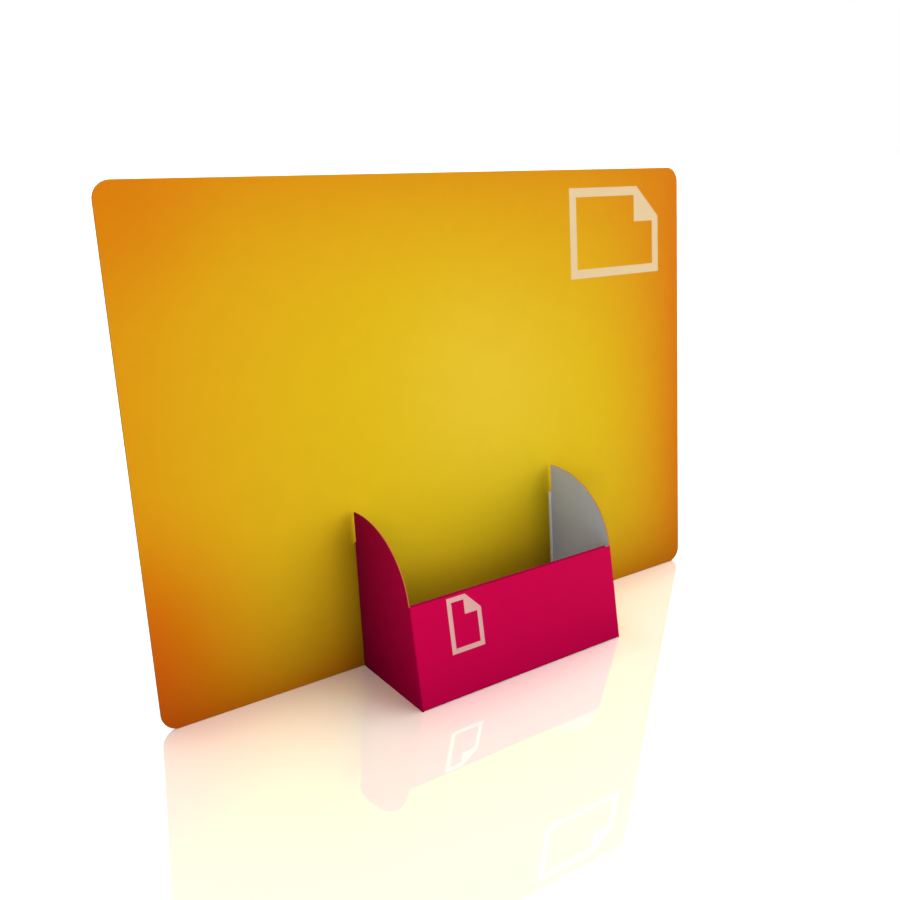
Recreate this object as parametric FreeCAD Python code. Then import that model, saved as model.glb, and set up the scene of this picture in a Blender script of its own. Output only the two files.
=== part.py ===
import FreeCAD, Part
import math
import os
from FreeCAD import Placement, Rotation, Vector

# A counter display stand in printed card: a header board that leans back, a folded leaflet pocket glued to
# its front, and a folded easel strut glued to its back. All sizes are in millimetres and degrees.
# While it is built, X runs across the stand, Y to the rear and Z up, with Y and Z at zero where the header's
# front face meets the floor. At the end everything moves so that the origin is under the middle of the stand.

# Header board, A3 sheet on its long side
HEADER_WIDTH = 420.0
HEADER_HEIGHT = 297.0
HEADER_BOARD = 1.5
HEADER_CORNER = 10.0
HEADER_LEAN = 6.25

# Leaflet pocket, outside sizes, for A5 leaflets that stand upright
POCKET_BOARD = 0.7
POCKET_WIDTH = 158.8
POCKET_DEPTH = 64.8
FRONT_SLOPE = 63.5
FRONT_LEAN = 12.5
POCKET_CREASE = 0.2
LIP_DEPTH = 18.0
LIP_GAP_LEFT = 0.3
LIP_GAP_RIGHT = 4.0
LIP_TAPER = 1.5

# Sides of the pocket, heights measured up the header's face
SIDE_TIP_HEIGHT = 100.5
SIDE_CURVE_FULLNESS = 0.77
TIP_SETBACK = 1.7
FLAP_HEIGHT = 81.0
FLAP_WIDTH = 2.0

# Base of the pocket
BASE_FLAP_HEIGHT = 20.0
BASE_TAB_HEIGHT = 14.0
BASE_TAB_CORNER = 5.0
BASE_TAB_SETBACK = 4.0
GLUE_GAP = 0.15
FLAP_CLEARANCE = 0.4

# Easel strut, heights measured up the header's back
STRUT_BOARD = 1.0
STRUT_CREASE = 0.3
STRUT_WIDTH = 90.0
STRUT_TOP = 205.0
STRUT_DEPTH = 96.0
WING_TOP_DEPTH = 16.0
WING_TOP_CORNER = 8.0
WING_BOTTOM = 12.0
FOOT_LENGTH = 24.0
FOOT_CORNER = 2.0
ARCH_HEIGHT = 32.0
ARCH_DEPTH = 36.0
ARCH_CORNER = 14.0
LOCK_HEIGHT = 52.0
LOCK_LENGTH = 62.0
LOCK_CORNER = 4.0
EAR_START = 42.0
EAR_WIDTH = 16.0
EAR_LENGTH = 6.0
EAR_CORNER = 2.0
EAR_CLEARANCE = 0.3
LOCK_CLEARANCE = 0.5

X_AXIS = Vector(1, 0, 0)
Z_AXIS = Vector(0, 0, 1)
RIGHT_ANGLE = 90.0
HALF_TURN = 180.0
SHORTEST_EDGE = 1e-6

# Outside radii of the folds
POCKET_FOLD = POCKET_BOARD + POCKET_CREASE
STRUT_FOLD = STRUT_BOARD + STRUT_CREASE


def outline(corners):
    """Edges of a closed outline through corners (x, y, radius), each rounded by its own radius."""
    count = len(corners)
    rounds = []
    for index, (x, y, radius) in enumerate(corners):
        corner = Vector(x, y, 0)
        before = Vector(*corners[index - 1][:2], 0) - corner
        after = Vector(*corners[(index + 1) % count][:2], 0) - corner
        before.normalize()
        after.normalize()
        half = before.getAngle(after) / 2
        inwards = before + after
        if radius == 0:
            rounds.append((corner, corner, corner))
            continue
        inwards.normalize()
        reach = radius / math.tan(half)
        middle = corner + inwards * (radius / math.sin(half) - radius)
        rounds.append((corner + before * reach, middle, corner + after * reach))
    edges = []
    for index, (start, middle, end) in enumerate(rounds):
        if (end - start).Length > SHORTEST_EDGE:
            edges.append(Part.Arc(start, middle, end).toShape())
        following = rounds[(index + 1) % count][0]
        if (following - end).Length > SHORTEST_EDGE:
            edges.append(Part.LineSegment(end, following).toShape())
    return edges


def edge_frame(frame, x, y, turn):
    """Frame on the same panel with its origin at x, y and its Y axis turned to point across an edge."""
    return frame.multiply(Placement(Vector(x, y, 0), Rotation(Z_AXIS, turn)))


def facing_frame(origin, across, outwards):
    """Frame at an origin whose Y axis points across a panel and whose Z axis points out of it."""
    return Placement(origin, Rotation(across.cross(outwards), across, outwards, "XYZ"))


def corner_setback(radius, turn):
    """Distance from a fold's sharp corner to where its rounded outside begins."""
    return radius * math.tan(math.radians(turn) / 2)


class FoldedSheet:
    """One die-cut sheet, made of flat panels joined by creases that all fold away from its outer face.

    A panel's frame has its origin on the outer face, X along the crease, Y across the panel and Z outwards,
    so that the sheet fills z from minus its thickness up to zero.
    """

    def __init__(self, thickness):
        self.thickness = thickness
        self.pieces = []

    def panel(self, frame, edges, cuts=()):
        """Add a flat panel with this outline, less the cuts made through it."""
        face = Part.Face(Part.Wire(edges))
        piece = face.extrude(Vector(0, 0, -self.thickness))
        piece.Placement = frame
        for cut in cuts:
            piece = piece.cut(cut)
        self.pieces.append(piece)

    def crease(self, frame, start, end, turn, inner_radius):
        """Add the bend along the frame's X axis from start to end, and return the frame of the next panel."""
        outer_radius = inner_radius + self.thickness
        section = Part.makePolygon([
            Vector(start, 0, 0),
            Vector(end, 0, 0),
            Vector(end, 0, -self.thickness),
            Vector(start, 0, -self.thickness),
            Vector(start, 0, 0),
        ])
        bend = Part.Face(section).revolve(Vector(0, 0, -outer_radius), -X_AXIS, turn)
        bend.Placement = frame
        self.pieces.append(bend)
        angle = math.radians(turn)
        across = outer_radius * math.sin(angle)
        inwards = outer_radius * (math.cos(angle) - 1)
        step = Placement(Vector(0, across, inwards), Rotation(X_AXIS, -turn))
        return frame.multiply(step)

    def solid(self):
        """All panels and creases as one solid."""
        return self.pieces[0].multiFuse(self.pieces[1:]).removeSplitter()


def leaning_frame(y, z, lean):
    """Frame of a board whose front face leans back from the line at y, z, with Y up the board."""
    return Placement(Vector(0, y, z), Rotation(X_AXIS, RIGHT_ANGLE - lean))


def header_face():
    """Frame of the header's front face. The board is lifted so that its rear bottom edge is on the floor."""
    lift = HEADER_BOARD * math.sin(math.radians(HEADER_LEAN))
    return leaning_frame(0, lift, HEADER_LEAN)


def make_header():
    """The header board, cut square along its edges with four rounded corners."""
    half = HEADER_WIDTH / 2
    board = FoldedSheet(HEADER_BOARD)
    board.panel(header_face(), outline([
        (-half, 0, HEADER_CORNER),
        (half, 0, HEADER_CORNER),
        (half, HEADER_HEIGHT, HEADER_CORNER),
        (-half, HEADER_HEIGHT, HEADER_CORNER),
    ]))
    return board.solid()


def add_front(sheet, front):
    """Front of the pocket between its two side creases, from the base crease up to the lip."""
    half = POCKET_WIDTH / 2 - POCKET_FOLD
    bottom = corner_setback(POCKET_FOLD, RIGHT_ANGLE + FRONT_LEAN)
    top = FRONT_SLOPE - POCKET_FOLD
    sheet.panel(front, outline([
        (-half, bottom, 0),
        (half, bottom, 0),
        (half, top, 0),
        (-half, top, 0),
    ]))


def add_lip(sheet, front):
    """Fold-over lip: the front's top edge is rolled over and hangs down inside the pocket."""
    inside = POCKET_WIDTH / 2 - POCKET_BOARD
    left = -inside + LIP_GAP_LEFT
    right = inside - LIP_GAP_RIGHT
    rim = edge_frame(front, 0, FRONT_SLOPE - POCKET_FOLD, 0)
    lip = sheet.crease(rim, left, right, HALF_TURN, POCKET_CREASE)
    sheet.panel(lip, outline([
        (left, 0, 0),
        (right, 0, 0),
        (right - LIP_TAPER, LIP_DEPTH, LIP_TAPER),
        (left + LIP_TAPER, LIP_DEPTH, LIP_TAPER),
    ]))


def add_side(sheet, front, header, side):
    """One side of the pocket, with a curved top edge and the narrow flap that lies on the header."""
    half = POCKET_WIDTH / 2
    top = FRONT_SLOPE - POCKET_FOLD
    under = 2 * POCKET_FOLD
    edge = edge_frame(front, side * (half - POCKET_FOLD), 0, -side * RIGHT_ANGLE)
    panel = sheet.crease(edge, *sorted((-side * top, side * under)), RIGHT_ANGLE, POCKET_CREASE)

    # The rear edge is cut back above the flap, and runs a little under the floor to be trimmed
    to_panel = panel.inverse()

    def beside_header(height, gap):
        """Point of the side at this height up the header, this far in front of it."""
        return to_panel.multVec(header.multVec(Vector(side * half, height, gap)))

    tip = beside_header(SIDE_TIP_HEIGHT, TIP_SETBACK)
    notch = beside_header(FLAP_HEIGHT, TIP_SETBACK)
    hinge_top = beside_header(FLAP_HEIGHT, POCKET_FOLD)
    heel = beside_header(-under, POCKET_FOLD)
    forwards = to_panel.Rotation.multVec(header.Rotation.multVec(Z_AXIS))
    shoulder = Vector(-side * top, 0, 0)
    toe = Vector(side * under, 0, 0)

    # The curve leaves the tip square to the header and meets the front in line with its slope
    peak = tip - forwards * (tip.y / forwards.y)
    curve = Part.BezierCurve()
    curve.setPoles([shoulder, peak, tip])
    curve.setWeight(2, SIDE_CURVE_FULLNESS)
    sheet.panel(panel, [
        Part.LineSegment(toe, shoulder).toShape(),
        curve.toShape(),
        Part.LineSegment(tip, notch).toShape(),
        Part.LineSegment(notch, hinge_top).toShape(),
        Part.LineSegment(hinge_top, heel).toShape(),
        Part.LineSegment(heel, toe).toShape(),
    ])

    # The flap starts below the tip and is folded inwards until its outer face lies on the header
    hinge = header.multiply(facing_frame(Vector(side * half, 0, POCKET_FOLD), -Z_AXIS, X_AXIS * side))
    low, high = sorted((side * under, -side * FLAP_HEIGHT))
    flap = sheet.crease(hinge, low, high, RIGHT_ANGLE, POCKET_CREASE)
    sheet.panel(flap, outline([
        (low, 0, 0),
        (high, 0, 0),
        (high, FLAP_WIDTH - POCKET_FOLD, 0),
        (low, FLAP_WIDTH - POCKET_FOLD, 0),
    ]))


def add_base(sheet, front, header):
    """Base of the pocket, folded back from the front, with a rear glue flap and a tab along each side."""
    front_turn = RIGHT_ANGLE + FRONT_LEAN
    rear_turn = RIGHT_ANGLE - HEADER_LEAN
    front_setback = corner_setback(POCKET_FOLD, front_turn)
    rear_setback = corner_setback(POCKET_FOLD, rear_turn)
    header_line = -header.Base.z * math.tan(math.radians(HEADER_LEAN))
    length = POCKET_DEPTH + header_line - front_setback - rear_setback
    tab_face = POCKET_WIDTH / 2 - POCKET_BOARD - GLUE_GAP
    base_half = tab_face - POCKET_FOLD
    crease_half = POCKET_WIDTH / 2 - POCKET_FOLD
    rear_half = POCKET_WIDTH / 2 - FLAP_WIDTH - FLAP_CLEARANCE

    hinge = edge_frame(front, 0, front_setback, HALF_TURN)
    base = sheet.crease(hinge, -crease_half, crease_half, front_turn, POCKET_CREASE)
    sheet.panel(base, outline([
        (-base_half, 0, 0),
        (base_half, 0, 0),
        (base_half, length, 0),
        (-base_half, length, 0),
    ]))

    rear = edge_frame(base, 0, length, 0)
    glue_flap = sheet.crease(rear, -rear_half, rear_half, rear_turn, POCKET_CREASE)
    sheet.panel(glue_flap, outline([
        (-rear_half, 0, 0),
        (rear_half, 0, 0),
        (rear_half - BASE_TAB_SETBACK, BASE_FLAP_HEIGHT, BASE_TAB_CORNER),
        (BASE_TAB_SETBACK - rear_half, BASE_FLAP_HEIGHT, BASE_TAB_CORNER),
    ]))

    for side in (-1, 1):
        edge = edge_frame(base, side * base_half, 0, -side * RIGHT_ANGLE)
        low, high = sorted((-side * BASE_TAB_SETBACK, -side * (length - BASE_TAB_SETBACK)))
        tab = sheet.crease(edge, low, high, RIGHT_ANGLE, POCKET_CREASE)
        sheet.panel(tab, outline([
            (low, 0, 0),
            (high, 0, 0),
            (high - BASE_TAB_SETBACK, BASE_TAB_HEIGHT, BASE_TAB_CORNER),
            (low + BASE_TAB_SETBACK, BASE_TAB_HEIGHT, BASE_TAB_CORNER),
        ]))


def trimmed_to_floor(shape):
    """The shape with all that lies below the floor cut off flush."""
    width = 2 * HEADER_WIDTH
    depth = 2 * (POCKET_DEPTH + STRUT_DEPTH)
    ground = Part.makeBox(width, depth, HEADER_HEIGHT, Vector(-width / 2, -depth / 2, -HEADER_HEIGHT))
    return shape.cut(ground)


def make_pocket():
    """The leaflet pocket, folded from one sheet and standing against the header's front face."""
    front = leaning_frame(-POCKET_DEPTH, 0, FRONT_LEAN)
    header = header_face()
    sheet = FoldedSheet(POCKET_BOARD)
    add_front(sheet, front)
    add_lip(sheet, front)
    add_base(sheet, front, header)
    for side in (-1, 1):
        add_side(sheet, front, header, side)
    return trimmed_to_floor(sheet.solid())


def add_wing(sheet, back, side, slot):
    """One wing of the strut, folded back square to the header, with its foot on the floor."""
    edge = edge_frame(back, side * (STRUT_WIDTH / 2 - STRUT_FOLD), 0, -side * RIGHT_ANGLE)
    wing = sheet.crease(edge, *sorted((-side * STRUT_TOP, -side * LOCK_HEIGHT)), RIGHT_ANGLE, STRUT_CREASE)
    to_wing = wing.inverse()

    def on_floor(reach):
        """Point of the wing on the floor, this far behind the header's front bottom edge."""
        return to_wing.multVec(Vector(side * STRUT_WIDTH / 2, reach, 0))

    def on_wing(height, depth, radius):
        """Corner at a height up the header and a depth behind the glue panel's outer face."""
        point = to_wing.multVec(back.multVec(Vector(side * STRUT_WIDTH / 2, height, -depth)))
        return (point.x, point.y, radius)

    foot_toe = on_floor(STRUT_DEPTH)
    foot_heel = on_floor(STRUT_DEPTH - FOOT_LENGTH)
    sheet.panel(wing, outline([
        on_wing(WING_BOTTOM, STRUT_FOLD, 0),
        on_wing(STRUT_TOP, STRUT_FOLD, 0),
        on_wing(STRUT_TOP, WING_TOP_DEPTH, WING_TOP_CORNER),
        (foot_toe.x, foot_toe.y, FOOT_CORNER),
        (foot_heel.x, foot_heel.y, FOOT_CORNER),
        on_wing(ARCH_HEIGHT, ARCH_DEPTH, ARCH_CORNER),
    ]), [slot])


def add_lock_flap(sheet, flap):
    """Lock flap between the wings, with an ear at each side that passes through the wing's slot."""
    half = STRUT_WIDTH / 2 - STRUT_BOARD - LOCK_CLEARANCE
    ear_half = STRUT_WIDTH / 2 + EAR_LENGTH
    ear_end = EAR_START + EAR_WIDTH
    right = [
        (half, 0, 0),
        (half, EAR_START, 0),
        (ear_half, EAR_START, EAR_CORNER),
        (ear_half, ear_end, EAR_CORNER),
        (half, ear_end, 0),
        (half, LOCK_LENGTH, LOCK_CORNER),
    ]
    left = [(-x, y, radius) for x, y, radius in reversed(right)]
    sheet.panel(flap, outline(right + left))


def make_strut():
    """The easel strut, folded from one sheet, with its glue panel flat on the header's back."""
    back = header_face().multiply(Placement(Vector(0, 0, -HEADER_BOARD), Rotation()))
    half = STRUT_WIDTH / 2 - STRUT_FOLD
    flap_half = STRUT_WIDTH / 2 - STRUT_BOARD - LOCK_CLEARANCE
    sheet = FoldedSheet(STRUT_BOARD)
    sheet.panel(back, outline([
        (-half, LOCK_HEIGHT, 0),
        (half, LOCK_HEIGHT, 0),
        (half, STRUT_TOP, 0),
        (-half, STRUT_TOP, 0),
    ]))

    hinge = edge_frame(back, 0, LOCK_HEIGHT, HALF_TURN)
    flap = sheet.crease(hinge, -half, half, RIGHT_ANGLE, STRUT_CREASE)
    add_lock_flap(sheet, flap)

    slot = Part.makeBox(
        2 * STRUT_WIDTH,
        EAR_WIDTH + 2 * EAR_CLEARANCE,
        STRUT_BOARD + 2 * EAR_CLEARANCE,
        Vector(-STRUT_WIDTH, EAR_START - EAR_CLEARANCE, -STRUT_BOARD - EAR_CLEARANCE),
    )
    slot.Placement = flap.multiply(slot.Placement)
    for side in (-1, 1):
        add_wing(sheet, back, side, slot)
    return sheet.solid()


def export(parts):
    """Move the stand so that the origin is under the middle of its box, and write one file for each piece."""
    box = Part.makeCompound(list(parts.values())).optimalBoundingBox()
    move = Vector(-box.Center.x, -box.Center.y, -box.ZMin)
    os.makedirs("parts", exist_ok=True)
    for name, shape in parts.items():
        shape.translate(move)
        shape.exportStep("parts/" + name + ".step")
        print(name, "solids", len(shape.Solids), "volume", round(shape.Volume), "valid", shape.isValid())
    print("moved by", move)


export({
    "header_card": make_header(),
    "leaflet_pocket": make_pocket(),
    "easel_strut": make_strut(),
})
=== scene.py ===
"""Dress a cardboard display stand in a studio: printed header board, folded leaflet pocket, easel strut.

Lengths are in metres, except where a docstring gives another unit.
"""

import logging
import math
from dataclasses import dataclass
from enum import Enum
from typing import Mapping, Optional, Sequence, Union

import bpy
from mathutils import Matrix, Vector

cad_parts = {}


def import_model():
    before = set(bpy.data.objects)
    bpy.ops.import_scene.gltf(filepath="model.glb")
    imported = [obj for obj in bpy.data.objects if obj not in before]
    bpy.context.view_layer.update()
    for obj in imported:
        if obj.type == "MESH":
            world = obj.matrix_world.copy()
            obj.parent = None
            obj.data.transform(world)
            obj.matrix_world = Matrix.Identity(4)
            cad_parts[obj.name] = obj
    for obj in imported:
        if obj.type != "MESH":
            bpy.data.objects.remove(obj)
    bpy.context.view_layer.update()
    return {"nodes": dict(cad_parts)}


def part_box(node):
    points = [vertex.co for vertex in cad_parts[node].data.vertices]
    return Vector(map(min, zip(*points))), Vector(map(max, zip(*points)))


LOG = logging.getLogger("display_stand")
MM = 0.001

# Cosines between a surface and a direction, from loosely to closely the same
LOOSELY = 0.3
HALFWAY = 0.5
CLOSELY = 0.7
FULLY = 0.9

Socket = bpy.types.NodeSocket
Input = Union[float, Sequence[float], bpy.types.NodeSocket, bpy.types.Node]
Colour = tuple[float, float, float, float]


class SheetIcon(Enum):
    """How the printed outline of a paper sheet is turned."""

    LANDSCAPE = "landscape"
    PORTRAIT = "portrait"


class PlainFor(Enum):
    """Kinds of ray that see the studio's background as plain white."""

    CAMERA = "Is Camera Ray"
    GLOSSY = "Is Glossy Ray"
    TRANSMISSION = "Is Transmission Ray"


def linear(colour: str) -> Colour:
    """Turn an sRGB hex colour into linear values.

    Args:
        colour: a hash sign and six hex digits.

    Returns:
        Linear red, green, blue and an alpha of 1.
    """
    channels = [int(colour[start:start + 2], 16) / 255 for start in (1, 3, 5)]
    red, green, blue = [c / 12.92 if c <= 0.04045 else ((c + 0.055) / 1.055) ** 2.4 for c in channels]
    return (red, green, blue, 1.0)


def add_node(
    tree: bpy.types.NodeTree,
    kind: str,
    inputs: Optional[Mapping[Union[int, str], Input]] = None,
    **settings: object,
) -> bpy.types.Node:
    """Add a node with its settings, and set or link its inputs.

    Args:
        tree: the tree that gets the node.
        kind: the node's type, without the ShaderNode in front.
        inputs: each input's name or number, with its value or what it is linked to. A node stands for its
            first output.
        settings: the node's own settings.

    Returns:
        The new node.
    """
    node = tree.nodes.new("ShaderNode" + kind)
    for name, value in settings.items():
        setattr(node, name, value)
    for key, value in (inputs or {}).items():
        if isinstance(value, bpy.types.Node):
            value = value.outputs[0]
        if isinstance(value, bpy.types.NodeSocket):
            tree.links.new(value, node.inputs[key])
        else:
            node.inputs[key].default_value = value
    return node


def empty_tree(owner: Union[bpy.types.Material, bpy.types.World]) -> bpy.types.NodeTree:
    """Give a material or world an empty node tree.

    Args:
        owner: the material or world.

    Returns:
        The empty tree.
    """
    owner.use_nodes = True
    owner.node_tree.nodes.clear()
    return owner.node_tree


def deselect_all() -> None:
    """Deselect every object, so that an operator acts on new pieces only."""
    for obj in bpy.context.selected_objects:
        obj.select_set(False)


@dataclass(frozen=True)
class Board:
    """A flat board that leans back, and where its printed face lies."""

    origin: Vector
    lean: float

    def place(self, tree: bpy.types.NodeTree) -> bpy.types.Node:
        """Add nodes that give a point's place on the board.

        Args:
            tree: the material's tree.

        Returns:
            A node with outputs X across the board, Y up it and Z out of its printed face, in metres.
        """
        point = add_node(tree, "TexCoord").outputs["Object"]
        turn = (math.radians(90 - self.lean), 0.0, 0.0)
        inputs = {"Vector": point, "Location": self.origin, "Rotation": turn}
        local = add_node(tree, "Mapping", inputs, vector_type="TEXTURE")
        return add_node(tree, "SeparateXYZ", {0: local})

    @property
    def outwards(self) -> tuple[float, float, float]:
        """Direction out of the printed face."""
        return (0.0, -math.cos(math.radians(self.lean)), math.sin(math.radians(self.lean)))

    @property
    def upwards(self) -> tuple[float, float, float]:
        """Direction up the board."""
        return (0.0, math.sin(math.radians(self.lean)), math.cos(math.radians(self.lean)))

    def facing(self, tree: bpy.types.NodeTree, direction: Sequence[float]) -> Socket:
        """Add nodes that give the cosine between a surface's normal and a direction.

        Args:
            tree: the material's tree.
            direction: the direction, of length 1.

        Returns:
            The cosine, 1 where the surface faces that way and -1 where it faces away.
        """
        normal = add_node(tree, "TexCoord").outputs["Normal"]
        product = add_node(tree, "VectorMath", {0: normal, 1: direction}, operation="DOT_PRODUCT")
        return product.outputs["Value"]


@dataclass(frozen=True)
class PrintedSheet:
    """Printed outline of a paper sheet with one corner folded down, in a place where a mark would be."""

    centre_x: float
    centre_y: float
    height: float
    stroke: float
    icon: SheetIcon
    fold_strokes: float = 3.5
    soft_edge: float = 0.15 * MM

    def mask(self, tree: bpy.types.NodeTree, place: bpy.types.Node) -> bpy.types.Node:
        """Add nodes that are 1 on the print's lines and 0 elsewhere.

        Args:
            tree: the material's tree.
            place: the point's place on the board.

        Returns:
            The mask's last node.
        """
        ratio = math.sqrt(2) if self.icon is SheetIcon.LANDSCAPE else 1 / math.sqrt(2)
        half = (self.height * ratio / 2, self.height / 2)
        fold = self.fold_strokes * self.stroke

        x = add_node(tree, "Math", {0: place.outputs[0], 1: self.centre_x}, operation="SUBTRACT")
        y = add_node(tree, "Math", {0: place.outputs[1], 1: self.centre_y}, operation="SUBTRACT")
        size_x = add_node(tree, "Math", {0: x}, operation="ABSOLUTE")
        size_y = add_node(tree, "Math", {0: y}, operation="ABSOLUTE")
        over_x = add_node(tree, "Math", {0: size_x, 1: half[0]}, operation="SUBTRACT")
        over_y = add_node(tree, "Math", {0: size_y, 1: half[1]}, operation="SUBTRACT")
        box = add_node(tree, "Math", {0: over_x, 1: over_y}, operation="MAXIMUM")

        # The folded corner cuts the sheet off along a line at 45 degrees
        along = add_node(tree, "Math", {0: x, 1: y}, operation="ADD")
        reach = add_node(tree, "Math", {0: along, 1: half[0] + half[1] - fold}, operation="SUBTRACT")
        beyond = add_node(tree, "Math", {0: reach, 1: math.sqrt(0.5)}, operation="MULTIPLY")
        sheet = add_node(tree, "Math", {0: box, 1: beyond}, operation="MAXIMUM")
        ring = add_node(tree, "Math", {0: sheet, 1: self.stroke / 2}, operation="ADD")
        line = add_node(tree, "Math", {0: ring}, operation="ABSOLUTE")

        # The turned-down corner is a small solid triangle inside that line
        flap_x = add_node(tree, "Math", {0: half[0] - fold, 1: x}, operation="SUBTRACT")
        flap_y = add_node(tree, "Math", {0: half[1] - fold, 1: y}, operation="SUBTRACT")
        flap = add_node(tree, "Math", {0: flap_x, 1: flap_y}, operation="MAXIMUM")
        flap = add_node(tree, "Math", {0: flap, 1: ring}, operation="MAXIMUM")

        nearest = add_node(tree, "Math", {0: line, 1: flap}, operation="MINIMUM")
        outside, inside = self.stroke / 2 + self.soft_edge, self.stroke / 2 - self.soft_edge
        limits = {"Value": nearest, 1: outside, 2: inside}
        return add_node(tree, "MapRange", limits, interpolation_type="SMOOTHSTEP")


@dataclass(frozen=True)
class PaperGrain:
    """Fine fibre and cloudy coating of a board, with sizes in millimetres.

    A paper fibre is about 0.03 mm wide, too fine to show, so fibres are drawn in tufts of half a millimetre
    and more. The clouds are as wide as those seen when a sheet is held against the light, and change is
    the most by which they vary the brightness, as a fraction.
    """

    fibre: float = 0.6
    cloud: float = 14.0
    depth: float = 0.006
    change: float = 0.012
    noise_low: float = 0.3
    noise_high: float = 0.7

    def colour(self, tree: bpy.types.NodeTree, colour: Input) -> Socket:
        """Add nodes that vary a colour a little, as a sheet's formation does.

        Args:
            tree: the material's tree.
            colour: the even colour.

        Returns:
            The varied colour.
        """
        point = add_node(tree, "TexCoord").outputs["Object"]
        inputs = {"Vector": point, "Scale": 1 / (self.cloud * MM), "Detail": 5.0, "Roughness": 0.6}
        cloud = add_node(tree, "TexNoise", inputs)
        limits = {"Value": cloud, 1: self.noise_low, 2: self.noise_high}
        span = {3: 1 - self.change, 4: 1 + self.change}
        factor = add_node(tree, "MapRange", {**limits, **span})
        varied = add_node(tree, "VectorMath", {0: colour, "Scale": factor}, operation="SCALE")
        return varied.outputs[0]

    def normal(self, tree: bpy.types.NodeTree) -> Socket:
        """Add nodes for the board's fine unevenness.

        Args:
            tree: the material's tree.

        Returns:
            The surface normal.
        """
        point = add_node(tree, "TexCoord").outputs["Object"]
        inputs = {"Vector": point, "Scale": 1 / (self.fibre * MM), "Detail": 3.0}
        fibres = add_node(tree, "TexNoise", inputs)
        bump = add_node(tree, "Bump", {"Height": fibres, "Distance": self.depth * MM, "Strength": 0.6})
        return bump.outputs[0]


@dataclass(frozen=True)
class EdgeFade:
    """Fade of the print towards one edge of the board."""

    coordinate: Socket
    start: float
    end: float
    most: float
    power: float

    def add(self, tree: bpy.types.NodeTree) -> bpy.types.Node:
        """Add nodes that rise from 0 at the start to their most at the edge.

        Args:
            tree: the material's tree.

        Returns:
            The last node.
        """
        ramp = add_node(tree, "MapRange", {"Value": self.coordinate, 1: self.start, 2: self.end})
        curve = add_node(tree, "Math", {0: ramp, 1: self.power}, operation="POWER")
        return add_node(tree, "Math", {0: curve, 1: self.most}, operation="MULTIPLY")


@dataclass(frozen=True)
class CornerGlow:
    """Soft round spot on the board: a glow in the print near a corner, and also a painted pool of light or
    painted shade.
    """

    centre_x: float
    centre_y: float
    radius: float
    most: float

    def add(self, tree: bpy.types.NodeTree, place: bpy.types.Node) -> bpy.types.Node:
        """Add nodes that fall from their most at the centre to 0 at the radius.

        Args:
            tree: the material's tree.
            place: the point's place on the board.

        Returns:
            The last node.
        """
        point = add_node(tree, "CombineXYZ", {0: place.outputs[0], 1: place.outputs[1]})
        centre = (self.centre_x, self.centre_y, 0.0)
        away = add_node(tree, "VectorMath", {0: point, 1: centre}, operation="DISTANCE").outputs["Value"]
        limits = {"Value": away, 1: self.radius, 2: 0.0, 3: 0.0, 4: self.most}
        return add_node(tree, "MapRange", limits, interpolation_type="SMOOTHSTEP")


@dataclass(frozen=True)
class WallPaintedShade:
    """Painted shade on both sides of an upright line, where a side of the pocket stands against the board."""

    line: float
    top: float
    left_reach: float
    right_reach: float
    most: float
    rise: float = 20 * MM
    power: float = 1.5

    def add(self, tree: bpy.types.NodeTree, place: bpy.types.Node) -> bpy.types.Node:
        """Add nodes that fall from their most on the line to 0 at its reach.

        Args:
            tree: the material's tree.
            place: the point's place on the board.

        Returns:
            The last node.
        """
        aside = add_node(tree, "Math", {0: place.outputs[0], 1: self.line}, operation="SUBTRACT")
        to_right = add_node(tree, "Math", {0: aside, 1: self.right_reach}, operation="DIVIDE")
        to_left = add_node(tree, "Math", {0: aside, 1: -self.left_reach}, operation="DIVIDE")
        beside = add_node(tree, "Math", {0: to_right, 1: to_left}, operation="MAXIMUM")
        over_top = {"Value": place.outputs[1], 1: self.top, 2: self.top + self.rise}
        above = add_node(tree, "MapRange", over_top)
        spread = add_node(tree, "CombineXYZ", {0: beside, 1: above})
        away = add_node(tree, "VectorMath", {0: spread}, operation="LENGTH").outputs["Value"]
        near = add_node(tree, "MapRange", {"Value": away, 1: 1.0, 2: 0.0})
        curve = add_node(tree, "Math", {0: near, 1: self.power}, operation="POWER")
        return add_node(tree, "Math", {0: curve, 1: self.most}, operation="MULTIPLY")


@dataclass(frozen=True)
class PocketPaintedShade:
    """Painted shade in the print around and inside the place of the pocket, where the board lies in the
    pocket's shade.
    """

    half_width: float
    top: float = 80 * MM
    low_from: float = 62 * MM
    low_to: float = 28 * MM
    low_most: float = 0.32

    def paint_shade(self, tree: bpy.types.NodeTree, place: bpy.types.Node, ink: Socket) -> Socket:
        """Add nodes that darken the ink with painted shade at the pocket's sides and low between them.

        Args:
            tree: the material's tree.
            place: the point's place on the board.
            ink: the ink's colour.

        Returns:
            The darkened colour.
        """
        # Painted shade beside both sides of the pocket, low between them and in its lower left inner corner
        across = add_node(tree, "Math", {0: place.outputs[0]}, operation="ABSOLUTE")
        inside = add_node(tree, "Math", {0: across, 1: self.half_width}, operation="LESS_THAN")
        limits = {"Value": place.outputs[1], 1: self.low_from, 2: self.low_to, 3: 0.0, 4: self.low_most}
        low = add_node(tree, "MapRange", limits, interpolation_type="SMOOTHSTEP")
        corner = CornerGlow(-self.half_width, 20 * MM, radius=85 * MM, most=0.35).add(tree, place)
        walls = (
            WallPaintedShade(-self.half_width, self.top, left_reach=22 * MM, right_reach=38 * MM, most=0.36),
            WallPaintedShade(self.half_width, self.top, left_reach=24 * MM, right_reach=60 * MM, most=0.37),
        )
        shades = [wall.add(tree, place) for wall in walls]
        for shade in (low, corner):
            shades.append(add_node(tree, "Math", {0: shade, 1: inside}, operation="MULTIPLY"))
        for shade in shades:
            rest = add_node(tree, "Math", {0: 1.0, 1: shade}, operation="SUBTRACT")
            ink = add_node(tree, "VectorMath", {0: ink, "Scale": rest}, operation="SCALE").outputs[0]
        return ink


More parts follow.
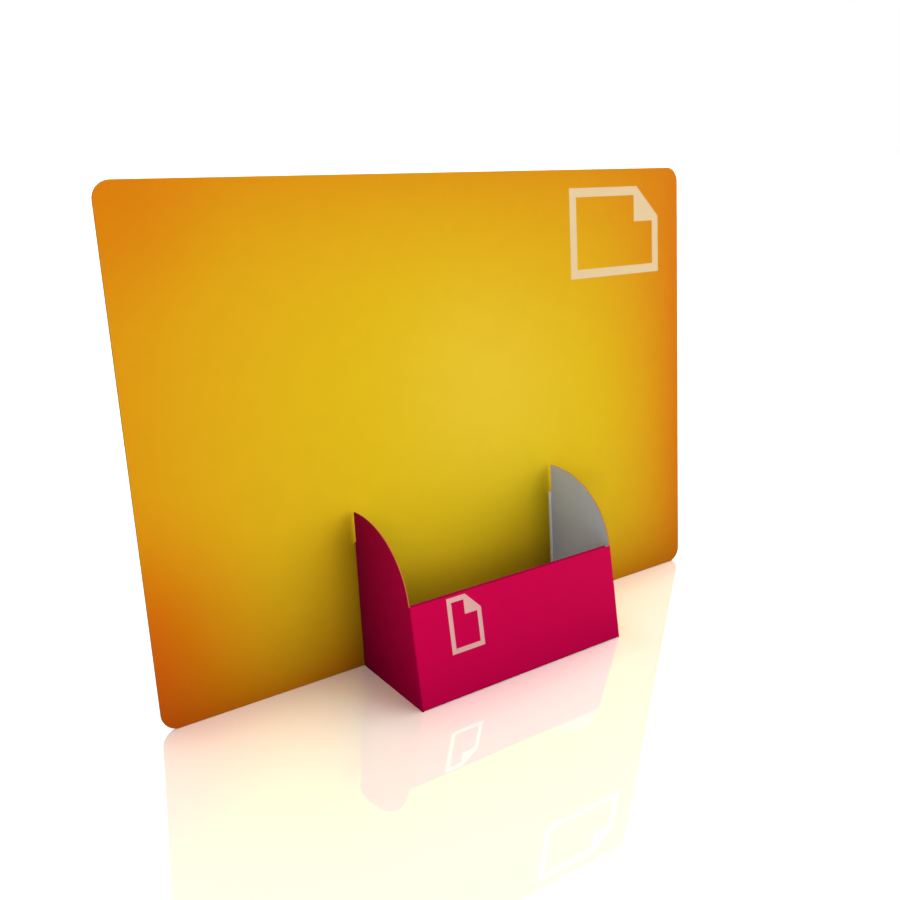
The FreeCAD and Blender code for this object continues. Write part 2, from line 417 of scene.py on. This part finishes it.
@dataclass(frozen=True)
class HeaderPrint:
    """Litho print on coated greyboard, matt laminated: even ink from yellow to orange at the rim, with a
    painted pool of light in the middle and painted shade around the pocket and low at the left.
    """

    board: Board
    width: float
    height: float
    shade: PocketPaintedShade
    mark: PrintedSheet
    yellow: str = "#F0CE1D"
    # Painted light: a lighter yellow for the painted pool of light in the middle
    painted_light_yellow: str = "#F6D433"
    orange: str = "#E4810A"
    # Partly print, partly painted shade near the floor at the bottom left
    deep_orange_and_painted_shade: str = "#E0600E"
    deepest: float = 1.3
    mark_ink: str = "#F2D7AB"
    edge_core: str = "#B4762E"
    back_liner: str = "#E9E6DF"
    grain: PaperGrain = PaperGrain()

    def vignette(self, tree: bpy.types.NodeTree, place: bpy.types.Node) -> Socket:
        """Add nodes for the print's run from yellow in the middle to orange at the rim, with a painted pool
        of light in the middle and partly painted shade low at the left.

        Args:
            tree: the material's tree.
            place: the point's place on the board.

        Returns:
            The ink's colour.
        """
        across, up = place.outputs[0], place.outputs[1]
        right, top = self.width / 2, self.height
        clear: Input = 1.0
        for fade in (
            EdgeFade(across, start=0.103, end=right, most=1.04, power=1.86),
            EdgeFade(across, start=0.100, end=-right, most=0.64, power=2.95),
            EdgeFade(up, start=0.087, end=top, most=0.67, power=3.4),
            # The fade towards the bottom edge is partly print, partly painted shade near the floor
            EdgeFade(up, start=0.105, end=0.0, most=0.85, power=4.0),
        ):
            rest = add_node(tree, "Math", {0: 1.0, 1: fade.add(tree)}, operation="SUBTRACT")
            clear = add_node(tree, "Math", {0: clear, 1: rest}, operation="MULTIPLY")
        for glow in (
            CornerGlow(right, top, radius=0.255, most=0.36),
            CornerGlow(-right, top, radius=0.088, most=0.73),
        ):
            rest = add_node(tree, "Math", {0: 1.0, 1: glow.add(tree, place)}, operation="SUBTRACT")
            clear = add_node(tree, "Math", {0: clear, 1: rest}, operation="MULTIPLY")
        rim = add_node(tree, "Math", {0: 1.0, 1: clear}, operation="SUBTRACT")
        # Partly print, partly painted shade: the ink goes deeper orange towards the bottom left corner
        low = CornerGlow(-right - 0.009, 0.042, radius=0.105, most=0.56).add(tree, place)
        rim = add_node(tree, "Math", {0: rim, 1: low}, operation="ADD")

        # A painted pool of light makes the yellow lightest in the middle, and past full orange the ink goes
        # on to a deeper one, which low at the left is partly painted shade
        painted_light_pool = CornerGlow(0.030, 0.165, radius=0.105, most=1.0).add(tree, place)
        inputs = {0: painted_light_pool, 6: linear(self.yellow), 7: linear(self.painted_light_yellow)}
        middle = add_node(tree, "Mix", inputs, data_type="RGBA").outputs[2]
        inputs = {0: rim, 6: middle, 7: linear(self.orange)}
        ink = add_node(tree, "Mix", inputs, data_type="RGBA").outputs[2]
        deeper = add_node(tree, "MapRange", {"Value": rim, 1: 1.0, 2: self.deepest})
        inputs = {0: deeper, 6: ink, 7: linear(self.deep_orange_and_painted_shade)}
        return add_node(tree, "Mix", inputs, data_type="RGBA").outputs[2]

    def build(self) -> bpy.types.Material:
        """Make the material: print with painted light and shade in front, white liner behind and a brown core
        along the cut edges.

        Returns:
            The new material.
        """
        # Matt film over the ink keeps the colour deep and even, with hardly any shine
        material = bpy.data.materials.new("litho_printed_greyboard")
        tree = empty_tree(material)
        place = self.board.place(tree)
        facing = self.board.facing(tree, self.board.outwards)

        # Painted shade around and inside the place of the pocket darkens the ink
        ink = self.shade.paint_shade(tree, place, self.vignette(tree, place))
        mark = self.mark.mask(tree, place)
        inputs = {0: mark, 6: ink, 7: linear(self.mark_ink)}
        front = add_node(tree, "Mix", inputs, data_type="RGBA").outputs[2]

        is_back = add_node(tree, "Math", {0: facing, 1: -HALFWAY}, operation="LESS_THAN")
        inputs = {0: is_back, 6: linear(self.edge_core), 7: linear(self.back_liner)}
        plain = add_node(tree, "Mix", inputs, data_type="RGBA").outputs[2]
        is_front = add_node(tree, "Math", {0: facing, 1: HALFWAY}, operation="GREATER_THAN")
        colour = add_node(tree, "Mix", {0: is_front, 6: plain, 7: front}, data_type="RGBA").outputs[2]

        shader = add_node(tree, "BsdfPrincipled", {
            "Base Color": self.grain.colour(tree, colour),
            "Roughness": 0.55,
            "Specular IOR Level": 0.03,
            "Normal": self.grain.normal(tree),
        })
        add_node(tree, "OutputMaterial", {"Surface": shader})
        return material


@dataclass(frozen=True)
class PocketPrint:
    """Coated folding board of the pocket, printed deep pink outside and left white inside, with painted
    shade: darker ink on the sides and rolled rim, and a greyer inside.
    """

    board: Board
    header: Board
    half_width: float
    thickness: float
    fold: float
    slope: float
    lip_end: float
    depth: float
    mark: PrintedSheet
    pink: str = "#DA004F"
    # Painted shade: the sides are darker than the front, and darker still at the rear
    shaded_side_pink: str = "#C80050"
    shaded_rear_pink: str = "#92003C"
    # Painted shade on the rolled rim
    fold_painted_shade: str = "#A2003C"
    mark_ink: str = "#F0BAB5"
    # Painted shade: the inside is greyer than the board's white, the sides' inner faces a cooler grey
    white: str = "#B9BDC4"
    shaded_side_white: str = "#C5D2EC"
    flap_white: str = "#FAF7EF"
    cut_core: str = "#CC8040"
    skin: float = 0.1 * MM
    inner_skin: float = 0.05 * MM
    slack: float = 0.02 * MM
    beside_header: float = 1.3 * MM
    grain: PaperGrain = PaperGrain()

    @property
    def rim(self) -> float:
        """Height up the front at which the roll along its rim starts."""
        return self.slope - self.fold

    @property
    def wall(self) -> float:
        """Distance from the middle at which the side panels start."""
        return self.half_width - self.thickness - self.slack

    def printed(self, tree: bpy.types.NodeTree, place: bpy.types.Node, facing: Socket) -> bpy.types.Node:
        """Add nodes that are 1 on the sheet's printed side and 0 on its white side and cut edges.

        Args:
            tree: the material's tree.
            place: the point's place on the pocket's front.
            facing: the cosine between the surface and the front.

        Returns:
            The mask's last node.
        """
        across, up, out = place.outputs
        coordinates = add_node(tree, "TexCoord")
        point = add_node(tree, "SeparateXYZ", {0: coordinates.outputs["Object"]})
        normal = add_node(tree, "SeparateXYZ", {0: coordinates.outputs["Normal"]})
        width = add_node(tree, "Math", {0: across}, operation="ABSOLUTE")

        # The outer faces of both sides
        side = add_node(tree, "Math", {0: width, 1: self.half_width - self.skin}, operation="GREATER_THAN")

        # The front with the folds that start on it
        is_front = add_node(tree, "Math", {0: facing, 1: LOOSELY}, operation="GREATER_THAN")
        print_depth = self.thickness - self.inner_skin
        is_shallow = add_node(tree, "Math", {0: out, 1: -print_depth}, operation="GREATER_THAN")
        is_under_rim = add_node(tree, "Math", {0: up, 1: self.rim + self.skin}, operation="LESS_THAN")
        front = add_node(tree, "Math", {0: is_front, 1: is_shallow}, operation="MULTIPLY")
        front = add_node(tree, "Math", {0: front, 1: is_under_rim}, operation="MULTIPLY")

        # The roll along the rim and the lip that hangs inside
        below_rim = add_node(tree, "Math", {0: up, 1: self.rim}, operation="MINIMUM")
        rise = add_node(tree, "Math", {0: up, 1: below_rim}, operation="SUBTRACT")
        run = add_node(tree, "Math", {0: out, 1: self.fold}, operation="ADD")
        spoke = add_node(tree, "CombineXYZ", {0: rise, 1: run})
        radius = add_node(tree, "VectorMath", {0: spoke}, operation="LENGTH")
        gap = add_node(tree, "Math", {0: radius.outputs["Value"], 1: self.fold}, operation="SUBTRACT")
        is_skin = add_node(tree, "Math", {0: gap, 1: -self.skin}, operation="GREATER_THAN")
        is_near = add_node(tree, "Math", {0: gap, 1: self.skin}, operation="LESS_THAN")
        is_inside = add_node(tree, "Math", {0: width, 1: self.wall}, operation="LESS_THAN")
        is_lip = add_node(tree, "Math", {0: up, 1: self.lip_end - self.skin}, operation="GREATER_THAN")
        lip = add_node(tree, "Math", {0: is_skin, 1: is_near}, operation="MULTIPLY")
        lip = add_node(tree, "Math", {0: lip, 1: is_inside}, operation="MULTIPLY")
        lip = add_node(tree, "Math", {0: lip, 1: is_lip}, operation="MULTIPLY")

        # The underside with its front fold
        is_down = add_node(tree, "Math", {0: normal.outputs[2], 1: -HALFWAY}, operation="LESS_THAN")
        is_low = add_node(tree, "Math", {0: point.outputs[2], 1: self.fold}, operation="LESS_THAN")
        base = add_node(tree, "Math", {0: is_down, 1: is_low}, operation="MULTIPLY")

        # The outside of the bends that carry the glue flaps
        outwards = add_node(tree, "Math", {0: across, 1: normal.outputs[0]}, operation="MULTIPLY")
        least = LOOSELY * self.half_width
        is_outwards = add_node(tree, "Math", {0: outwards, 1: least}, operation="GREATER_THAN")
        bend_start = self.half_width - self.fold - self.skin
        is_bend = add_node(tree, "Math", {0: width, 1: bend_start}, operation="GREATER_THAN")
        bend = add_node(tree, "Math", {0: is_outwards, 1: is_bend}, operation="MULTIPLY")

        mask = side
        for part in (front, lip, base, bend):
            mask = add_node(tree, "Math", {0: mask, 1: part}, operation="MAXIMUM")
        return mask

    def ink(
        self,
        tree: bpy.types.NodeTree,
        place: bpy.types.Node,
        facing: Socket,
        point: bpy.types.Node,
    ) -> Socket:
        """Add nodes for the print: pink in front, with painted shade that makes it deeper on the sides and
        darker on the rolled rim.

        Args:
            tree: the material's tree.
            place: the point's place on the pocket's front.
            facing: the cosine between the surface and the front.
            point: the point's three object coordinates.

        Returns:
            The ink's colour.
        """
        across = add_node(tree, "Math", {0: place.outputs[0]}, operation="ABSOLUTE")
        # Painted shade: the rolled rim takes a darker ink
        fade_in = {"Value": place.outputs[1], 1: self.rim - 3 * self.skin, 2: self.rim + self.skin}
        roll = add_node(tree, "MapRange", fade_in, interpolation_type="SMOOTHSTEP")
        inner, crease = self.half_width - self.thickness, self.half_width - self.fold
        is_middle = add_node(tree, "Math", {0: across, 1: inner}, operation="LESS_THAN")
        roll = add_node(tree, "Math", {0: roll, 1: is_middle}, operation="MULTIPLY")
        # Painted shade: the sides take a darker ink than the front
        is_side = add_node(tree, "Math", {0: facing, 1: HALFWAY}, operation="LESS_THAN")
        on_side = add_node(tree, "Math", {0: across, 1: crease}, operation="GREATER_THAN")
        side = add_node(tree, "Math", {0: is_side, 1: on_side}, operation="MULTIPLY")

        # Painted shade: the sides' ink deepens further towards the rear
        front = self.board.origin.y
        rear_painted_shade = add_node(tree, "MapRange", {"Value": point.outputs[1], 1: front, 2: front + self.depth})
        inputs = {0: rear_painted_shade, 6: linear(self.shaded_side_pink), 7: linear(self.shaded_rear_pink)}
        shaded_side_ink = add_node(tree, "Mix", inputs, data_type="RGBA").outputs[2]
        ink = add_node(tree, "Mix", {0: side, 6: linear(self.pink), 7: shaded_side_ink}, data_type="RGBA")
        ink = add_node(tree, "Mix", {0: roll, 6: ink.outputs[2], 7: linear(self.fold_painted_shade)}, data_type="RGBA")

        is_front = add_node(tree, "Math", {0: facing, 1: FULLY}, operation="GREATER_THAN")
        mark = add_node(tree, "Math", {0: self.mark.mask(tree, place), 1: is_front}, operation="MULTIPLY")
        inputs = {0: mark, 6: ink.outputs[2], 7: linear(self.mark_ink)}
        return add_node(tree, "Mix", inputs, data_type="RGBA").outputs[2]

    def bare(self, tree: bpy.types.NodeTree, place: bpy.types.Node) -> Socket:
        """Add nodes for the unprinted board: white inside, greyer with painted shade, and its core along cut
        edges.

        Args:
            tree: the material's tree.
            place: the point's place on the pocket's front.

        Returns:
            The bare board's colour.
        """
        across = add_node(tree, "Math", {0: place.outputs[0]}, operation="ABSOLUTE")
        normal = add_node(tree, "TexCoord").outputs["Normal"]
        sideways = add_node(tree, "SeparateXYZ", {0: normal}).outputs[0]

        # Painted shade: inside, the board is greyer than its white, and the sides are a cooler grey than the
        # front and the base
        turned = add_node(tree, "Math", {0: sideways}, operation="ABSOLUTE")
        on_side = add_node(tree, "Math", {0: turned, 1: CLOSELY}, operation="GREATER_THAN")
        inputs = {0: on_side, 6: linear(self.white), 7: linear(self.shaded_side_white)}
        bare = add_node(tree, "Mix", inputs, data_type="RGBA").outputs[2]

        # The glue flaps and the creases beside them keep the coating's full white, without the painted shade
        gap = self.header.place(tree).outputs[2]
        beside = add_node(tree, "Math", {0: gap, 1: self.beside_header}, operation="LESS_THAN")
        inputs = {0: beside, 6: bare, 7: linear(self.flap_white)}
        bare = add_node(tree, "Mix", inputs, data_type="RGBA").outputs[2]

        # The cut edges of the side panels show the board's core
        is_edge = add_node(tree, "Math", {0: sideways, 1: 0.0, 2: LOOSELY}, operation="COMPARE")
        in_wall = add_node(tree, "Math", {0: across, 1: self.wall}, operation="GREATER_THAN")
        cut = add_node(tree, "Math", {0: is_edge, 1: in_wall}, operation="MULTIPLY")

        # The corners at both ends of the rim are cut too, apart from the side panels' inner faces
        corner_start = self.wall - 1.5 * self.thickness
        in_corner = add_node(tree, "Math", {0: across, 1: corner_start}, operation="GREATER_THAN")
        at_rim = add_node(tree, "Math", {0: place.outputs[1], 1: self.rim, 2: self.fold}, operation="COMPARE")
        at_front = add_node(tree, "Math", {0: place.outputs[2], 1: -2 * self.fold}, operation="GREATER_THAN")
        corner = add_node(tree, "Math", {0: in_corner, 1: at_rim}, operation="MULTIPLY")
        corner = add_node(tree, "Math", {0: corner, 1: at_front}, operation="MULTIPLY")
        wall_face = add_node(tree, "Math", {0: on_side, 1: in_wall}, operation="MULTIPLY")
        corner = add_node(tree, "Math", {0: corner, 1: wall_face}, operation="SUBTRACT")
        cut = add_node(tree, "Math", {0: cut, 1: corner}, operation="MAXIMUM")
        inputs = {0: cut, 6: bare, 7: linear(self.cut_core)}
        return add_node(tree, "Mix", inputs, data_type="RGBA").outputs[2]

    def build(self) -> bpy.types.Material:
        """Make the material: pink print outside and bare board elsewhere, both with painted shade.

        Returns:
            The new material.
        """
        # Offset ink sinks into the coated sheet, so the pink is dense and flat with a very faint shine
        material = bpy.data.materials.new("printed_folding_board")
        tree = empty_tree(material)
        place = self.board.place(tree)
        facing = self.board.facing(tree, self.board.outwards)
        point = add_node(tree, "SeparateXYZ", {0: add_node(tree, "TexCoord").outputs["Object"]})

        printed = self.printed(tree, place, facing)
        inputs = {0: printed, 6: self.bare(tree, place), 7: self.ink(tree, place, facing, point)}
        colour = add_node(tree, "Mix", inputs, data_type="RGBA").outputs[2]
        shader = add_node(tree, "BsdfPrincipled", {
            "Base Color": self.grain.colour(tree, colour),
            "Roughness": 0.5,
            "Specular IOR Level": 0.02,
            "Normal": self.grain.normal(tree),
        })
        add_node(tree, "OutputMaterial", {"Surface": shader})
        return material


@dataclass(frozen=True)
class StrutLiner:
    """White-lined chipboard of the easel strut, with brown-grey chip showing along its cut edges."""

    board: Board
    half_width: float
    thickness: float
    fold_end: float
    lock_height: float
    top: float
    liner: str = "#DEDAD1"
    chip: str = "#A3937D"
    slack: float = 0.05 * MM
    grain: PaperGrain = PaperGrain(fibre=0.9, cloud=9.0, depth=0.012, change=0.02)

    def cut_edges(self, tree: bpy.types.NodeTree) -> bpy.types.Node:
        """Add nodes that are 1 on the sheet's cut edges and 0 on its lined faces.

        Args:
            tree: the material's tree.

        Returns:
            The mask's last node.
        """
        across, up, out = self.board.place(tree).outputs
        rise = self.board.facing(tree, self.board.upwards)
        sideways = self.board.facing(tree, (1.0, 0.0, 0.0))
        is_behind = add_node(tree, "Math", {0: out, 1: self.fold_end}, operation="LESS_THAN")

        # Edges of the wings
        width = add_node(tree, "Math", {0: across}, operation="ABSOLUTE")
        in_wing = {0: width, 1: self.half_width - self.thickness / 2, 2: self.thickness / 2 + self.slack}
        wing = add_node(tree, "Math", in_wing, operation="COMPARE")
        is_wing_edge = add_node(tree, "Math", {0: sideways, 1: 0.0, 2: LOOSELY}, operation="COMPARE")
        wing = add_node(tree, "Math", {0: wing, 1: is_wing_edge}, operation="MULTIPLY")

        # Edges of the lock flap and its ears. At their height the mask also crosses the wings' faces
        in_flap = {0: up, 1: self.lock_height - self.thickness / 2, 2: self.thickness / 2 + self.slack}
        flap = add_node(tree, "Math", in_flap, operation="COMPARE")
        is_flap_edge = add_node(tree, "Math", {0: rise, 1: 0.0, 2: LOOSELY}, operation="COMPARE")
        flap = add_node(tree, "Math", {0: flap, 1: is_flap_edge}, operation="MULTIPLY")

        edges = add_node(tree, "Math", {0: wing, 1: flap}, operation="MAXIMUM")
        edges = add_node(tree, "Math", {0: edges, 1: is_behind}, operation="MULTIPLY")
        head = add_node(tree, "Math", {0: up, 1: self.top - self.slack}, operation="GREATER_THAN")
        return add_node(tree, "Math", {0: edges, 1: head}, operation="MAXIMUM")

    def build(self) -> bpy.types.Material:
        """Make the material, with a light fleck in the liner.

        Returns:
            The new material.
        """
        # The uncoated liner is a dull, slightly grey white that scatters light softly
        material = bpy.data.materials.new("white_lined_chipboard")
        tree = empty_tree(material)
        edges = self.cut_edges(tree)
        inputs = {0: edges, 6: linear(self.liner), 7: linear(self.chip)}
        colour = add_node(tree, "Mix", inputs, data_type="RGBA").outputs[2]
        shader = add_node(tree, "BsdfPrincipled", {
            "Base Color": self.grain.colour(tree, colour),
            "Roughness": 0.7,
            "Specular IOR Level": 0.2,
            "Normal": self.grain.normal(tree),
        })
        add_node(tree, "OutputMaterial", {"Surface": shader})
        return material


@dataclass(frozen=True)
class Footprint:
    """Upright rectangle that a piece of the stand covers on the floor, in metres."""

    half_x: float
    centre_y: float
    half_y: float

    def distance(self, tree: bpy.types.NodeTree) -> Socket:
        """Add nodes that give a floor point's distance from the rectangle.

        Args:
            tree: the material's tree.

        Returns:
            The distance, 0 inside.
        """
        point = add_node(tree, "TexCoord").outputs["Object"]
        shifted = add_node(tree, "VectorMath", {0: point, 1: (0.0, self.centre_y, 0.0)}, operation="SUBTRACT")
        size = add_node(tree, "VectorMath", {0: shifted}, operation="ABSOLUTE")
        half = (self.half_x, self.half_y, 0.0)
        over = add_node(tree, "VectorMath", {0: size, 1: half}, operation="SUBTRACT")
        outside = add_node(tree, "VectorMath", {0: over, 1: (0.0, 0.0, 0.0)}, operation="MAXIMUM")
        return add_node(tree, "VectorMath", {0: outside}, operation="LENGTH").outputs["Value"]


@dataclass
class HeaderBoard:
    """The header: an A3 board on its long side that leans back, printed in front."""

    node: str = "header_card"
    width: float = 0.420
    height: float = 0.297
    thickness: float = 0.0015
    lean: float = 6.25
    mark: PrintedSheet = PrintedSheet(
        centre_x=0.147,
        centre_y=0.255,
        height=0.060,
        stroke=0.006,
        icon=SheetIcon.LANDSCAPE,
    )

    @property
    def board(self) -> Board:
        """Where the header's front face lies. Its rear bottom edge is on the floor."""
        low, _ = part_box(self.node)
        lift = self.thickness * math.sin(math.radians(self.lean))
        return Board(Vector((0.0, low[1], low[2] + lift)), self.lean)

    @property
    def footprint(self) -> Footprint:
        """What the header covers on the floor: the strip under its bottom edge."""
        low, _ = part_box(self.node)
        return Footprint(self.width / 2, low[1] + self.thickness / 2, self.thickness / 2)

    def dress(self, obj: bpy.types.Object) -> None:
        """Give the board its print, with painted light and shade.

        Args:
            obj: the board's object from the frame.
        """
        # Painted shade around the pocket
        shade = PocketPaintedShade(LeafletPocket.width / 2)
        finish = HeaderPrint(self.board, self.width, self.height, shade, self.mark)
        obj.material_slots[0].material = finish.build()
        LOG.info("%s dressed", self.node)


@dataclass
class LeafletPocket:
    """The pocket: one folded sheet with a rolled lip, curved sides and narrow glue flaps."""

    header: Board
    node: str = "leaflet_pocket"
    width: float = 0.1588
    thickness: float = 0.0007
    fold: float = 0.0009
    slope: float = 0.0635
    depth: float = 0.0648
    lip_depth: float = 0.018
    lean: float = 12.5
    mark: PrintedSheet = PrintedSheet(
        centre_x=-0.042,
        centre_y=0.044,
        height=0.034,
        stroke=0.003,
        icon=SheetIcon.PORTRAIT,
    )

    @property
    def footprint(self) -> Footprint:
        """What the pocket covers on the floor."""
        low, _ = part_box(self.node)
        return Footprint(self.width / 2, low[1] + self.depth / 2, self.depth / 2)

    def dress(self, obj: bpy.types.Object) -> None:
        """Give the pocket its print, with painted shade.

        Args:
            obj: the pocket's object from the frame.
        """
        low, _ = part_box(self.node)
        board = Board(Vector((0.0, low[1], 0.0)), self.lean)
        finish = PocketPrint(
            board=board,
            header=self.header,
            half_width=self.width / 2,
            thickness=self.thickness,
            fold=self.fold,
            slope=self.slope,
            lip_end=self.slope - self.fold - self.lip_depth,
            depth=self.depth,
            mark=self.mark,
        )
        obj.material_slots[0].material = finish.build()
        LOG.info("%s dressed", self.node)



@dataclass
class EaselStrut:
    """The strut behind: a glue panel, two wings and a lock flap, folded from plain lined board."""

    header: Board
    header_thickness: float
    node: str = "easel_strut"
    width: float = 0.090
    thickness: float = 0.001
    fold: float = 0.0013
    lock_height: float = 0.052
    top: float = 0.205

    def dress(self, obj: bpy.types.Object) -> None:
        """Give the strut its plain board.

        Args:
            obj: the strut's object from the frame.
        """
        finish = StrutLiner(
            board=self.header,
            half_width=self.width / 2,
            thickness=self.thickness,
            fold_end=-self.header_thickness - self.fold,
            lock_height=self.lock_height,
            top=self.top,
        )
        obj.material_slots[0].material = finish.build()
        LOG.info("%s dressed", self.node)


@dataclass(frozen=True)
class GlossFloor:
    """Polished white acrylic: it mirrors the stand faintly and keeps its soft shadow, with painted shade at
    the stand and a painted brightening farther out.
    """

    footprints: tuple[Footprint, ...]
    white: str = "#FFFCF3"
    mirror: float = 0.5
    polish: float = 0.03
    # Painted shade at the stand and painted brightening farther out, in the white the camera sees
    contact_painted_shade: float = 0.94
    clear: float = 1.08
    clear_from: float = 35 * MM
    bounce: float = 0.9
    quiet: float = 0.045
    quiet_from: float = 20 * MM
    quiet_to: float = 100 * MM

    def build(self) -> bpy.types.Material:
        """Make the material. Close to the stand it gives back little light, so that corners stay deep.

        Returns:
            The new material.
        """
        # The polished sheet is clear white to the eye, with a pale mirror image and a soft shade at the
        # stand; the camera sees its white painted darker at the stand and over white farther out
        material = bpy.data.materials.new("polished_white_acrylic")
        tree = empty_tree(material)
        seen = add_node(tree, "LightPath").outputs[PlainFor.CAMERA.value]
        nearest: Input = self.quiet_to
        for footprint in self.footprints:
            nearest = add_node(tree, "Math", {0: nearest, 1: footprint.distance(tree)}, operation="MINIMUM")
        limits = {"Value": nearest, 1: self.quiet_from, 2: self.quiet_to, 3: self.quiet, 4: self.bounce}
        bounce = add_node(tree, "MapRange", limits, interpolation_type="SMOOTHSTEP")
        # Painted shade and light: the camera's white rises from darker at the stand to over white farther out
        painted_shade_span = {"Value": nearest, 1: 0.0, 2: self.clear_from, 3: self.contact_painted_shade, 4: self.clear}
        painted_shade_and_light = add_node(tree, "MapRange", painted_shade_span, interpolation_type="SMOOTHSTEP")
        white = add_node(tree, "Mix", {0: seen, 2: bounce, 3: painted_shade_and_light})
        colour = add_node(tree, "VectorMath", {0: linear(self.white)[:3], "Scale": white}, operation="SCALE")
        body = add_node(tree, "BsdfDiffuse", {"Color": colour})
        share = add_node(tree, "Math", {0: seen, 1: self.mirror}, operation="MULTIPLY")
        polish = add_node(tree, "BsdfAnisotropic", {"Color": share, "Roughness": self.polish})
        floor = add_node(tree, "AddShader", {0: body, 1: polish})
        add_node(tree, "OutputMaterial", {"Surface": floor})
        return material


@dataclass(frozen=True)
class SoftLight:
    """Broad soft light in the dome, strongest in one direction."""

    direction: tuple[float, float, float]
    strength: float

    def add(self, tree: bpy.types.NodeTree) -> bpy.types.Node:
        """Add nodes for its share of the dome's brightness.

        Args:
            tree: the world's tree.

        Returns:
            The last node.
        """
        towards = add_node(tree, "TexCoord").outputs["Generated"]
        product = add_node(tree, "VectorMath", {0: towards, 1: self.direction}, operation="DOT_PRODUCT")
        share = add_node(tree, "Math", {0: product.outputs["Value"], 1: 0.0}, operation="MAXIMUM")
        return add_node(tree, "Math", {0: share, 1: self.strength}, operation="MULTIPLY")


@dataclass
class Studio:
    """White studio: a polished floor, a soft dome of light and a plain white background."""

    footprints: tuple[Footprint, ...]
    floor_size: float = 40.0
    even_light: float = 0.52
    lights: tuple[SoftLight, ...] = (
        SoftLight(direction=(1.0, 0.0, 0.0), strength=1.98),
        SoftLight(direction=(0.0, 1.0, 0.0), strength=0.40),
    )

    def build_floor(self) -> bpy.types.Object:
        """Lay the floor under the stand.

        Returns:
            The floor's object.
        """
        deselect_all()
        bpy.ops.mesh.primitive_plane_add(size=self.floor_size, location=(0.0, 0.0, 0.0))
        floor = bpy.context.active_object
        floor.name = "studio_floor"
        floor.data.materials.append(GlossFloor(self.footprints).build())
        deselect_all()
        return floor

    def build_world(self) -> None:
        """Light the studio with a soft dome that shows as plain white."""
        world = bpy.data.worlds.new("studio_dome")
        bpy.context.scene.world = world
        tree = empty_tree(world)
        path = add_node(tree, "LightPath")
        seen = path.outputs[PlainFor.CAMERA.value]
        for ray in (PlainFor.GLOSSY, PlainFor.TRANSMISSION):
            seen = add_node(tree, "Math", {0: seen, 1: path.outputs[ray.value]}, operation="MAXIMUM")
        strength: Input = self.even_light
        for light in self.lights:
            strength = add_node(tree, "Math", {0: strength, 1: light.add(tree)}, operation="ADD")
        white = (1.0, 1.0, 1.0, 1.0)
        dome = add_node(tree, "Background", {"Color": white, "Strength": strength})
        plain = add_node(tree, "Background", {"Color": white, "Strength": 1.0})
        mix = add_node(tree, "MixShader", {0: seen, 1: dome, 2: plain})
        add_node(tree, "OutputWorld", {"Surface": mix})


@dataclass(frozen=True)
class StandCamera:
    """The photograph's camera: its place from the header's front bottom edge, its turn and its frame.

    Places are in metres, angles in degrees, and the focal length, centre and picture in pixels.
    """

    header: Board
    offset: tuple[float, float, float] = (-0.35462, -0.46442, 0.31276)
    yaw: float = 34.592
    pitch: float = 18.02
    focal: float = 968.376
    centre: tuple[float, float] = (423.59, 457.16)
    picture: float = 900.0
    sensor: float = 36.0

    def build(self) -> bpy.types.Object:
        """Create the camera and make it the scene's camera.

        Returns:
            The camera's object.
        """
        data = bpy.data.cameras.new("photo_camera")
        data.sensor_width = self.sensor
        data.lens = self.focal * self.sensor / self.picture
        data.shift_x = (self.picture / 2 - self.centre[0]) / self.picture
        data.shift_y = (self.centre[1] - self.picture / 2) / self.picture
        data.clip_start = 0.01
        data.clip_end = 100.0
        camera = bpy.data.objects.new("photo_camera", data)
        camera.location = Vector(self.offset) + Vector((0.0, self.header.origin.y, 0.0))
        camera.rotation_euler = (math.radians(90 - self.pitch), 0.0, math.radians(-self.yaw))
        bpy.context.scene.collection.objects.link(camera)
        bpy.context.scene.camera = camera
        return camera


def main() -> None:
    """Load the frame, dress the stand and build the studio."""
    logging.basicConfig(level=logging.INFO, format="%(name)s: %(message)s")
    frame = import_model()
    header = HeaderBoard()
    pocket = LeafletPocket(header.board)
    strut = EaselStrut(header.board, header.thickness)
    for part in (header, pocket, strut):
        part.dress(frame["nodes"][part.node])
    studio = Studio((header.footprint, pocket.footprint))
    studio.build_floor()
    studio.build_world()
    StandCamera(header.board).build()
    bpy.context.scene.view_settings.view_transform = "Standard"


if __name__ == "__main__":
    main()
